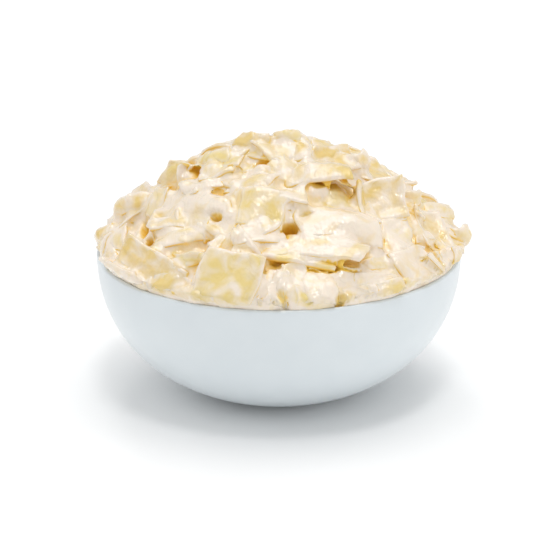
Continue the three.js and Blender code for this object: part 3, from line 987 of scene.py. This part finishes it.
@dataclass
class LoosePieces:
    """The pieces that aren't named: the back, the sides and the top, the rim, and what shows in between."""

    shape: HeapShape
    fill_count: int = 62
    fill_seed: int = 7
    fill_reach: float = 76.8
    fill_coat: float = 0.55
    fill_coat_swing: float = 0.35
    fill_coat_turns: float = 5
    front_half_angle: float = 78
    front_start: float = 18
    rim_count: int = 44
    rim_seed: int = 31
    scatter_reach: float = 76.5
    hollow_clear: float = 5

    def values(self, draw: Draw, kind: Kind, ranges: dict, own: dict) -> dict[str, float]:
        """Draws a piece's values, one after the other in the order of their ranges.

        Args:
            draw: the draw.
            kind: the kind of piece; a slim one has no bends, so none are drawn for it.
            ranges: the lowest and highest of each value.
            own: ranges that the kind has in place of those.

        Returns:
            The values by name.
        """
        ends = {**ranges, **own}
        names = [name for name in ends if not (kind in SLIM and name in BENDS)]
        return {name: draw.between(*ends[name]) for name in names}

    def fill(self) -> list[Piece]:
        """Draws the pieces at the back, the sides and the top, evenly spread and uneven in size and turn.

        Returns:
            The pieces.
        """
        draw = Draw(self.fill_seed)
        pieces = []
        for i in range(self.fill_count):
            az = (i * GOLDEN_ANGLE + 180) % 360 - 180
            r = self.fill_reach * math.sqrt((i + 0.5) / self.fill_count)
            choice = draw.number()
            kind = next(kind for kind, end in FILL_KINDS if choice < end)
            values = self.values(draw, kind, FILL, FILL_SIZES[kind])
            values["lean"] = values["lean"] * r / self.fill_reach
            coat = self.fill_coat + self.fill_coat_swing * math.sin(self.fill_coat_turns * az)
            if not (abs(az) < self.front_half_angle and r > self.front_start):
                pieces.append(Piece(kind, az, r, coat=coat, **values))
        return pieces

    def scattered(self, layer: Layer) -> list[Piece]:
        """Draws pieces that lie between and under the others, curved and long by their width.

        Args:
            layer: how many there are and what they are like.

        Returns:
            The pieces.
        """
        draw = Draw(layer.seed)
        pieces = []
        for i in range(layer.count):
            az = (i * GOLDEN_ANGLE + 90) % 360 - 180
            r = self.scatter_reach * math.sqrt((i + 0.5) / layer.count)
            kind = draw.one_of(layer.kinds)
            wide = draw.between(*layer.width)
            values = self.values(draw, kind, {"lift": layer.lift, **SCATTER}, SLIM_SIZES.get(kind, {}))
            for name in ("cup",) if kind in SLIM else ("l", "cup", "arch"):
                values[name] *= wide
            values["lean"] = values["lean"] * r / self.fill_reach
            pieces.append(Piece(kind, az, r, w=wide, **values))
        return pieces

    def rim(self) -> list[Piece]:
        """Draws the pieces that stand along the bowl's wall and hide the cream behind the lip.

        Returns:
            The pieces.
        """
        draw = Draw(self.rim_seed)
        pieces = []
        for i in range(self.rim_count):
            kind = draw.one_of((LEAF, SCRAP, RIB))
            values = self.values(draw, kind, RIM, SLIM_SIZES.get(kind, {}))
            values["az"] += 360 * i / self.rim_count - 180
            pieces.append(Piece(kind, **values))
        return pieces

    def over_hollow(self, piece: Piece) -> bool:
        """Tells whether a loose piece would lie over one of the hollows.

        Args:
            piece: the piece.

        Returns:
            Whether it would.
        """
        spot = self.shape.lie(piece).translation
        for gap in HOLLOWS.values():
            hole = self.shape.lie(Piece(LEAF, gap.az, gap.r, 0, 0, 0)).translation
            if (spot - hole).length < gap.width / 2 + self.hollow_clear:
                return True
        return False

    def drawn(self) -> list[Piece]:
        """Draws them all, and leaves out the small ones that would lie over a hollow."""
        small = [*self.scattered(UNDER), *self.scattered(BITS)]
        return [*self.fill(), *self.rim(), *(piece for piece in small if not self.over_hollow(piece))]


@dataclass
class Cutter:
    """How a flat blank becomes a piece: its rounded, torn and thinner edges, its veins and its bends."""

    shape: HeapShape
    crowding: float = 0.8
    edge_round: float = 0.65
    edge_least: float = 0.35
    # How far in from the edge the whiter rim reaches, in mm: partly cream gathered there, partly a painted
    # highlight.
    edge_film_and_highlight: float = 2.8
    corner_round: float = 0.22
    ragged: float = 0.7
    tear_sizes: tuple[float, float] = (0.6, 0.3)
    tear_across: tuple[float, float] = (2.6, 6.1)
    tear_along: tuple[float, float] = (2.9, 5.7)
    grain_height: float = 0.1
    grain_waves: float = 1.9
    bulge_height: float = 0.3
    bulge_waves: float = 0.7
    vein_height: float = 0.55
    vein_width: float = 1.1
    vein_bow: float = 2
    side_vein_share: float = 0.4
    side_vein_width: float = 0.8
    side_vein_gap: float = 6.5
    side_vein_slant: float = 0.9
    side_vein_start: float = 2
    buckle: float = 0.35
    buckle_across: float = 0.85
    buckle_along: float = 0.6
    probe: float = 0.03
    grain_shift: float = 9
    tone_turns: float = 7
    blank_depth: float = 1

    def blank(self, kind: Kind) -> bpy.types.Mesh:
        """Cuts a kind's flat blank: two faces and a rim, 2 wide and 2 long, the upper face at z 0.

        Args:
            kind: the kind of piece.

        Returns:
            A new mesh.
        """
        bm = bmesh.new()
        bmesh.ops.create_grid(bm, x_segments=kind.across, y_segments=kind.along, size=1)
        bmesh.ops.solidify(bm, geom=bm.faces[:], thickness=self.blank_depth)
        bmesh.ops.recalc_face_normals(bm, faces=bm.faces)
        made = bpy.data.meshes.new("blank")
        bm.to_mesh(made)
        bm.free()
        return made

    def relief(self, piece: Piece, x: np.ndarray, y: np.ndarray) -> np.ndarray:
        """Gives the height of the veins over a piece's face.

        Args:
            piece: the piece.
            x: places across it in mm.
            y: places along it in mm.

        Returns:
            Heights in mm.
        """
        if piece.kind in SLIM:
            grain = self.grain_height * np.sin(self.grain_waves * y + piece.phase)
            return grain + self.bulge_height * np.sin(self.bulge_waves * x + 2 * piece.phase)
        turn = piece.phase + piece.az
        across = x * math.sin(turn) - y * math.cos(turn) - self.vein_bow * math.sin(3 * turn)
        along = x * math.cos(turn) + y * math.sin(turn)
        main = self.vein_height * np.exp(-((across / self.vein_width) ** 2))
        slanted = along - self.side_vein_slant * np.abs(across)
        side = np.mod(slanted, self.side_vein_gap) - self.side_vein_gap / 2
        side_height = self.side_vein_share * self.vein_height * np.exp(-((side / self.side_vein_width) ** 2))
        veins = main + side_height * smoothstep(0, self.side_vein_start, np.abs(across))
        waves = np.sin(self.buckle_across * across + 2 * turn) * np.sin(self.buckle_along * along + turn)
        return veins + self.buckle * waves

    def torn(self, place: np.ndarray, waves: tuple[float, float], phase: float) -> np.ndarray:
        """Gives how far a torn edge wanders.

        Args:
            place: places along the edge, from -1 to 1.
            waves: how fast its large and its small waves run.
            phase: where they start.

        Returns:
            Values from about -1 to 1.
        """
        large, small = self.tear_sizes
        slow, quick = waves
        return large * np.sin(slow * place + phase) + small * np.sin(quick * place + 2 * phase)

    def bent(self, piece: Piece, lie: Matrix, flat: np.ndarray) -> tuple[np.ndarray, np.ndarray]:
        """Bends the flat blank of a kind into one piece.

        Args:
            piece: the piece.
            lie: its place and turn.
            flat: the blank's points.

        Returns:
            The bent points in mm, and for each how near it is to the piece's edge, from 0 to 1.
        """
        spread = math.pi / 2 * self.crowding
        half_w, half_l = piece.w / 2, piece.l / 2
        u, v = (np.sin(flat[:, i] * spread) / math.sin(spread) for i in (0, 1))
        near = np.minimum((1 - np.abs(u)) * half_w, (1 - np.abs(v)) * half_l)
        corner = self.corner_round
        u, v = u * np.sqrt(1 - corner * v * v / 2), v * np.sqrt(1 - corner * u * u / 2)
        turn = piece.phase + piece.az
        tear_u, tear_v = self.torn(v, self.tear_across, turn), self.torn(u, self.tear_along, -turn)
        u = u * (1 + self.ragged * tear_u * np.abs(u) ** 3 / half_w)
        v = v * (1 + self.ragged * tear_v * np.abs(v) ** 3 / half_l)
        surface, step = self.shape.surface, self.probe
        middle = surface(piece, lie, u, v)
        du = surface(piece, lie, u + step, v) - surface(piece, lie, u - step, v)
        dv = surface(piece, lie, u, v + step) - surface(piece, lie, u, v - step)
        normal = np.cross(du, dv)
        normal /= np.maximum(np.linalg.norm(normal, axis=1, keepdims=True), TINY)
        rounding = 1 - np.minimum(near / self.edge_round, 1)
        profile = self.edge_least + (1 - self.edge_least) * np.sqrt(1 - rounding**2)
        side = np.where(flat[:, 2] > -self.blank_depth / 2, 1.0, -1.0)
        half = piece.kind.thickness / 2 * profile
        veins = self.relief(piece, u * half_w, v * half_l) * profile
        points = middle + normal * (side * half + np.where(side > 0, veins, 0))[:, None]
        return points, 1 - np.minimum(near / self.edge_film_and_highlight, 1)

    def own_place(self, piece: Piece, flat: np.ndarray) -> np.ndarray:
        """Gives a piece's own coordinates, drawn out along its fibres, the long way in a slim one.

        Args:
            piece: the piece.
            flat: the blank's points.

        Returns:
            Rows of x, y and z for the pattern of the fibres.
        """
        across, along = flat[:, 0] * piece.w / 2, flat[:, 1] * piece.l / 2
        if piece.kind in SLIM:
            across, along = along, across
        depth = flat[:, 2] + self.grain_shift * piece.phase
        return np.stack([across, along / CreamedLeaf().fibre_stretch, depth], axis=1)

    def cut(
        self, kind: Kind, laid: Sequence[tuple[Piece, Matrix]], material: bpy.types.Material
    ) -> bpy.types.Object:
        """Makes every piece of one kind, as one joined mesh.

        Args:
            kind: the kind of piece.
            laid: all the pieces, each with its place and turn.
            material: the finish.

        Returns:
            The joined object, with its coat, tone, edge and fibres stored on its points.
        """
        blank = self.blank(kind)
        flat = np.array([v.co for v in blank.vertices])
        bm = bmesh.new()
        chosen = [(piece, lie) for piece, lie in laid if piece.kind is kind]
        points, edges, coats, tones, places = [], [], [], [], []
        for piece, lie in chosen:
            bm.from_mesh(blank)
            bent, edge = self.bent(piece, lie, flat)
            points.append(bent)
            edges.append(edge)
            coats.append(np.full(len(flat), piece.coat))
            tone = 0.5 + 0.5 * math.sin(piece.az * self.tone_turns + piece.r)
            tones.append(np.full(len(flat), tone))
            places.append(self.own_place(piece, flat))
        bpy.data.meshes.remove(blank)
        made = add_object(kind.title, bm, material)
        write_coordinates(made.data, np.concatenate(points) * MM)
        write_attribute(made.data, "edge", np.concatenate(edges))
        write_attribute(made.data, "tone", np.concatenate(tones))
        write_attribute(made.data, "laid_coat", np.concatenate(coats))
        write_vectors(made.data, "own_place", np.concatenate(places))
        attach(made, BODY)
        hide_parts("creamed_cabbage")
        log.info("%s: %d pieces", kind.title, len(chosen))
        return made


@dataclass
class CreamSauce:
    """The cream: one body that fills the bowl, dips into the hollows and creeps up on the pieces, in mm."""

    shape: HeapShape
    core_rings: int = 24
    core_steps: int = 96
    voxel: float = 0.8
    closing: float = 1.7
    shrink: float = 0.14
    rim_swell: float = 1.4
    rim_rise: float = 2.4
    rim_power: int = 12
    lip_clear: float = -0.4
    lip_hug: float = 0.8
    lump: float = 0.38
    lump_size: float = 9
    lump_seed: int = 5
    smoothing: float = 0.5
    smoothing_turns: int = 3
    triangles: int = 185000

    def core(self) -> bpy.types.Object:
        """Makes the plain mass under the pieces, which fills the bowl and rises as a dome.

        Returns:
            The core's object.
        """
        shape = self.shape
        below = shape.bowl.inner(np.linspace(0, 1, self.core_rings), -self.rim_swell)
        r = np.linspace(below[-1, 0], 0, self.core_rings)
        height = shape.height(r) - shape.core_sink + self.rim_rise * (r / r[0]) ** self.rim_power
        profile = np.concatenate([[(0, below[0, 1])], below, np.stack([r, height], axis=1)])
        return add_object("core", turned(profile, self.core_steps), None)

    def move_out(self, piece: bpy.types.Object, distance: np.ndarray | float) -> None:
        """Moves a mesh's points along their normals.

        Args:
            piece: the mesh's object.
            distance: how far in mm, for all of them or for each.
        """
        mesh = piece.data
        step = normals(mesh) * (np.asarray(distance) * MM).reshape(-1, 1)
        write_coordinates(mesh, coordinates(mesh) + step)

    def smooth(self, piece: bpy.types.Object) -> None:
        """Evens out a mesh a little."""
        shape_by(piece, "SMOOTH", factor=self.smoothing, iterations=self.smoothing_turns)

    def pour(self, parts: Sequence[bpy.types.Object], material: bpy.types.Material) -> bpy.types.Object:
        """Pours the cream round the pieces.

        Args:
            parts: the joined pieces.
            material: the finish.

        Returns:
            The cream.
        """
        core = self.core()
        bm = bmesh.new()
        for part in [core, *parts]:
            bm.from_mesh(part.data)
        bpy.data.objects.remove(core)
        cream = add_object("cream_sauce", bm, material)
        voxels = {"mode": "VOXEL", "voxel_size": self.voxel * MM, "use_smooth_shade": True}
        shape_by(cream, "REMESH", **voxels)
        self.move_out(cream, self.closing)
        shape_by(cream, "REMESH", **voxels)
        self.smooth(cream)
        uneven = lumps(coordinates(cream.data) / MM, self.lump_size, self.lump_seed) * self.lump
        self.move_out(cream, uneven - self.closing - self.shrink)
        self.smooth(cream)
        triangles = sum(len(p.vertices) - 2 for p in cream.data.polygons)
        shape_by(cream, "DECIMATE", ratio=min(1, self.triangles / triangles))
        points = self.shape.pushed(coordinates(cream.data) / MM, [*HOLLOWS.values(), *MOUNDS.values()])
        points = self.shape.keep_clear(points, -self.shape.gap * self.lip_hug, self.lip_clear)
        write_coordinates(cream.data, points * MM)
        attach(cream, BODY)
        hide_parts("creamed_cabbage")
        log.info("cream: %d triangles before thinning", triangles)
        return cream


@dataclass
class ShadeToPaint:
    """How shut in each place is between the pieces, felt out along rays towards the sky.

    It sets the painted shade: the leaf and the cream are painted golden where a place is shut in. reach is
    how far a ray feels, and skin how far off the surface it starts, in mm. No place lower than least_seen
    shows, so none is felt out there.
    """

    tree: BVHTree
    rays: int = 14
    reach: float = 12
    skin: float = 0.8
    least_seen: float = 60

    def sky(self) -> list[Vector]:
        """Spreads directions evenly over the upper half of a sphere.

        Returns:
            The directions, each 1 long.
        """
        found = []
        for i in range(self.rays):
            z = (i + 0.5) / self.rays
            turn = i * math.radians(GOLDEN_ANGLE)
            flat = math.sqrt(1 - z * z)
            found.append(Vector((flat * math.cos(turn), flat * math.sin(turn), z)))
        return found

    def measured(self, points: np.ndarray, facing: np.ndarray, sunk: np.ndarray) -> np.ndarray:
        """Measures how shut in each point is.

        Args:
            points: rows of x, y and z in metres.
            facing: the unit normals there.
            sunk: whether each point is under the cream.

        Returns:
            0 for an open point to 1 for one at the bottom of a narrow gap.
        """
        reach = self.reach * MM
        rays = self.sky()
        shut = np.zeros(len(points))
        up = Vector((0, 0, 1))
        for i, (point, normal) in enumerate(zip(points, facing)):
            if sunk[i] or point[2] < self.least_seen * MM:
                continue
            turn = up.rotation_difference(Vector(normal)).to_matrix()
            start = Vector(point) + Vector(normal) * (self.skin * MM)
            total = 0.0
            for ray in rays:
                hit = self.tree.ray_cast(start, turn @ ray, reach)
                if hit[0] is not None:
                    total += ray.z * (1 - hit[3] / reach)
            shut[i] = total
        return shut / sum(ray.z for ray in rays)


@dataclass
class CabbageHeap:
    """The heap: leaves, scraps, ribs and shreds on a core of cream that also fills the creases.

    wave_by_az and wave_by_r give each named piece a wave of its own. bare is how far a hollow thins the film
    of cream, so the yellower leaf shows there: partly the leaf itself, partly painted shade in the gap.
    cream_film is what the cream has more than the piece under it, and cream_rise what it has more again from
    1 mm over that piece. edge_film_and_highlight is what a piece has more at its edges, partly cream gathered
    there and partly a painted highlight on the rims, and seam_film what it has more where it goes into the
    cream, from seam_height mm down.
    """

    shape: HeapShape
    wave_by_az: float = 0.7
    wave_by_r: float = 0.3
    bare_and_painted_shade: float = 1.2
    cream_film: float = 0.3
    cream_rise: float = 0.7
    cream_stretch: float = 6
    edge_film_and_highlight: float = 0.8
    seam_film: float = 0.3
    seam_height: float = 0.5

    def laid(self) -> list[tuple[Piece, Matrix]]:
        """Lays every piece on the dome.

        Returns:
            The pieces, each with its place and turn.
        """
        named = [
            replace(piece, phase=self.wave_by_az * piece.az + self.wave_by_r * piece.r)
            for piece in FRONT.values()
        ]
        loose = LoosePieces(self.shape).drawn()
        return [(piece, self.shape.settled(piece)) for piece in (*named, *loose)]

    def build(self) -> None:
        """Makes the pieces and the cream round them."""
        laid = self.laid()
        leaf = CreamedLeaf().material()
        parts = [Cutter(self.shape).cut(kind, laid, leaf) for kind in Kind]
        cream = CreamSauce(self.shape).pour(parts, CreamedLeaf(name="cream_sauce").material())
        through = [hollow for hollow in HOLLOWS.values() if hollow.through]
        for part in parts:
            write_coordinates(part.data, self.shape.pushed(coordinates(part.data) / MM, through) * MM)
        self.dress(parts, cream)

    def dress(self, parts: Sequence[bpy.types.Object], cream: bpy.types.Object) -> None:
        """Stores how thickly each point is coated and how deep in a hollow it lies.

        Args:
            parts: the joined pieces.
            cream: the cream round them.
        """
        surface = tree_of([cream])
        pieces = tree_of(parts)
        shade = ShadeToPaint(tree_of([cream, *parts]))
        near_coat = np.concatenate([on_faces(part.data, "laid_coat") for part in parts])
        near_tone = np.concatenate([on_faces(part.data, "tone") for part in parts])
        for part in [*parts, cream]:
            mesh = part.data
            points, facing = coordinates(mesh), normals(mesh)
            # Painted shade: the film of cream is thinned in the hollows, so the yellower leaf shows there,
            # partly the leaf itself and partly shade painted into the gap.
            bare_and_painted_shade = self.bare_and_painted_shade * sum(self.shape.opened(points / MM, hollow)[1] for hollow in HOLLOWS.values())
            if part is cream:
                sunk = np.zeros(len(points), bool)
                over, nearest = height_over(pieces, points)
                film = near_coat[nearest] + self.cream_film + self.cream_rise * smoothstep(0, 1, over / MM)
                write_attribute(mesh, "tone", near_tone[nearest])
                write_vectors(mesh, "own_place", points / MM / self.cream_stretch)
            else:
                depth = height_over(surface, points)[0] / MM
                sunk = depth < -self.seam_height
                seam = 1 - smoothstep(0, self.seam_height, depth)
                # The extra film at the edges whitens the rims: partly cream gathered there, partly a painted
                # highlight.
                film = read_attribute(mesh, "laid_coat") + self.edge_film_and_highlight * read_attribute(mesh, "edge")
                film = film + self.seam_film * seam
            # This sets the painted shade: the material paints a place more golden the more shut in it is.
            write_attribute(mesh, "hollow", shade.measured(points, facing, sunk))
            write_attribute(mesh, "coat", np.clip(film - bare_and_painted_shade, 0, 1))


def tree_of(parts: Iterable[bpy.types.Object]) -> BVHTree:
    """Gathers meshes for measuring distances and sight lines.

    Args:
        parts: the objects whose meshes count.

    Returns:
        A tree of all their faces.
    """
    bm = bmesh.new()
    for part in parts:
        bm.from_mesh(part.data)
    tree = BVHTree.FromBMesh(bm)
    bm.free()
    return tree


def height_over(tree: BVHTree, points: np.ndarray) -> tuple[np.ndarray, np.ndarray]:
    """Measures how far each point lies from a surface.

    Args:
        tree: the surface.
        points: rows of x, y and z in metres.

    Returns:
        The distances, less than 0 inside the surface, and the number of the nearest face to each point.
    """
    found = np.empty(len(points))
    nearest = np.empty(len(points), int)
    for i, point in enumerate(points):
        spot, normal, nearest[i], distance = tree.find_nearest(Vector(point))
        found[i] = math.copysign(distance, (Vector(point) - spot).dot(normal))
    return found, nearest


def on_faces(mesh: bpy.types.Mesh, name: str) -> np.ndarray:
    """Reads a value that is stored on a mesh's points, at the first corner of each face."""
    return read_attribute(mesh, name)[[face.vertices[0] for face in mesh.polygons]]


@dataclass(frozen=True)
class Lamp:
    """One soft, far light: where it stands as seen from the dish, its strength and how wide it looks."""

    direction: tuple[float, float, float]
    strength: float
    angle_deg: float


LAMPS = {
    "overhead_softbox": Lamp((0.08, 0.14, 1), 0.8, 40),
    "right_panel": Lamp((1, -0.25, 0.05), 0.62, 50),
    "left_panel": Lamp((-0.8, -0.1, 0.7), 0.24, 50),
    "key_lamp": Lamp((0.05, -0.3, 1), 0.42, 11),
    "back_lamp": Lamp((-0.15, 0.6, 0.8), 0.2, 11),
}


@dataclass
class Studio:
    """A plain pale floor under plain soft light, seen from the height at which the dish was pictured."""

    target: tuple[float, float, float] = (0, 0, 0.0635)
    distance: float = 1.0
    tilt_deg: float = 19.0
    aim_below_deg: float = 0.82
    aim_right_deg: float = 0.03
    lens_mm: float = 146.0
    sensor_mm: float = 36
    sight_end: float = 50
    floor_half: float = 6.0
    floor_white: str = "#fdfdfd"
    floor_roughness: float = 0.9
    floor_shine: float = 0.1
    surround: float = 0.6
    surround_white: str = "#ffffff"

    def camera(self) -> None:
        """Sets the camera."""
        data = bpy.data.cameras.new("camera")
        data.lens = self.lens_mm
        data.sensor_width = self.sensor_mm
        data.clip_end = self.sight_end
        made = bpy.data.objects.new("camera", data)
        tilt = math.radians(self.tilt_deg)
        back = Vector((0, -math.cos(tilt), math.sin(tilt)))
        made.location = Vector(self.target) + back * self.distance
        pitch = math.radians(90 - self.tilt_deg - self.aim_below_deg)
        made.rotation_euler = Euler((pitch, 0, -math.radians(self.aim_right_deg)))
        bpy.context.scene.collection.objects.link(made)
        bpy.context.scene.camera = made

    def floor(self) -> None:
        """Lays the floor, a board painted matt white, which takes soft shadows and hardly shines."""
        material, _, shader = new_material("matt_painted_floor")
        set_values(
            shader,
            {
                "Base Color": rgb(self.floor_white),
                "Roughness": self.floor_roughness,
                "Specular IOR Level": self.floor_shine,
            },
        )
        bm = bmesh.new()
        bmesh.ops.create_grid(bm, x_segments=4, y_segments=4, size=self.floor_half)
        add_object("floor", bm, material)

    def light(self, name: str, lamp: Lamp) -> None:
        """Hangs one lamp.

        Args:
            name: the lamp's name.
            lamp: where it stands and how it shines.
        """
        data = bpy.data.lights.new(name, "SUN")
        data.energy = lamp.strength
        data.angle = math.radians(lamp.angle_deg)
        made = bpy.data.objects.new(name, data)
        made.rotation_euler = Vector(lamp.direction).to_track_quat("Z", "Y").to_euler()
        bpy.context.scene.collection.objects.link(made)

    def build(self) -> None:
        """Sets up the studio."""
        self.camera()
        self.floor()
        world = bpy.data.worlds.new("studio")
        bpy.context.scene.world = world
        world.use_nodes = True
        light = {"Color": rgb(self.surround_white), "Strength": self.surround}
        set_values(world.node_tree.nodes["Background"], light)
        for name, lamp in LAMPS.items():
            self.light(name, lamp)
        bpy.context.scene.view_settings.view_transform = "Standard"


def main() -> None:
    """Builds the dish and its studio in order."""
    logging.basicConfig(level=logging.INFO, format="%(name)s: %(message)s")
    log.info("solids in the frame: %s", ", ".join(frame["nodes"]))
    Studio().build()
    Bowl(BowlShape()).build()
    log.info("bowl ready")
    CabbageHeap(HeapShape()).build()
    log.info("heap ready")
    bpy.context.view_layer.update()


if __name__ == "__main__":
    main()
